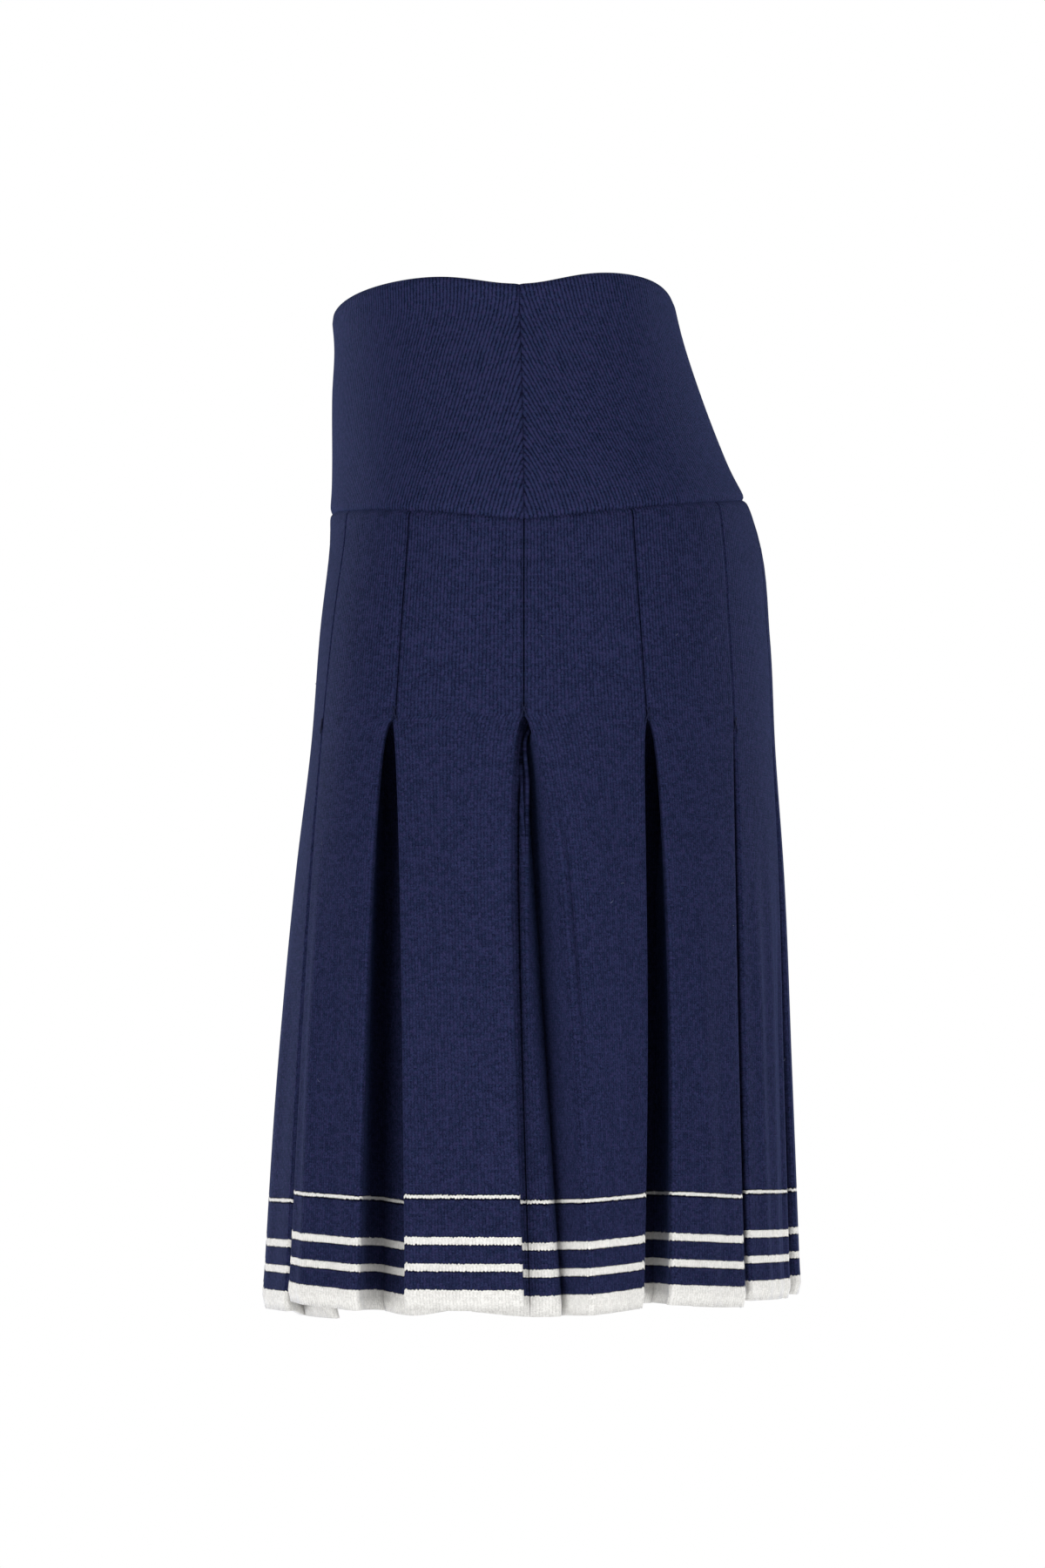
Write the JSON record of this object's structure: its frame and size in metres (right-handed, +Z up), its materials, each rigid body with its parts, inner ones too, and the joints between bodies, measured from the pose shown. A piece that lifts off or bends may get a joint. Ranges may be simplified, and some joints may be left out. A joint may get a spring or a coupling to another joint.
{
  "type": "pleated knit skirt",
  "caption": "Fine-knit skirt with a close hip yoke, inverted box pleats stitched down over the hips, and knitted-in stripes above a contrast hem band.",
  "frame": {"origin": "centre of the waist opening, level with the top edge", "axes": "+Z up to the wearer's head, -Y to the wearer's front, +X to the wearer's left"},
  "size_m": [0.4114, 0.2972, 0.5548],
  "materials": {
    "navy_knit": "matt fine rib knit, navy",
    "striped_knit": "matt fine rib knit, navy with ivory stripes and an ivory hem band"
  },
  "bodies": {
    "root": {"yoke_front": "navy_knit", "yoke_back": "navy_knit", "skirt_front": "striped_knit", "skirt_back": "striped_knit"}
  },
  "joints": []
}
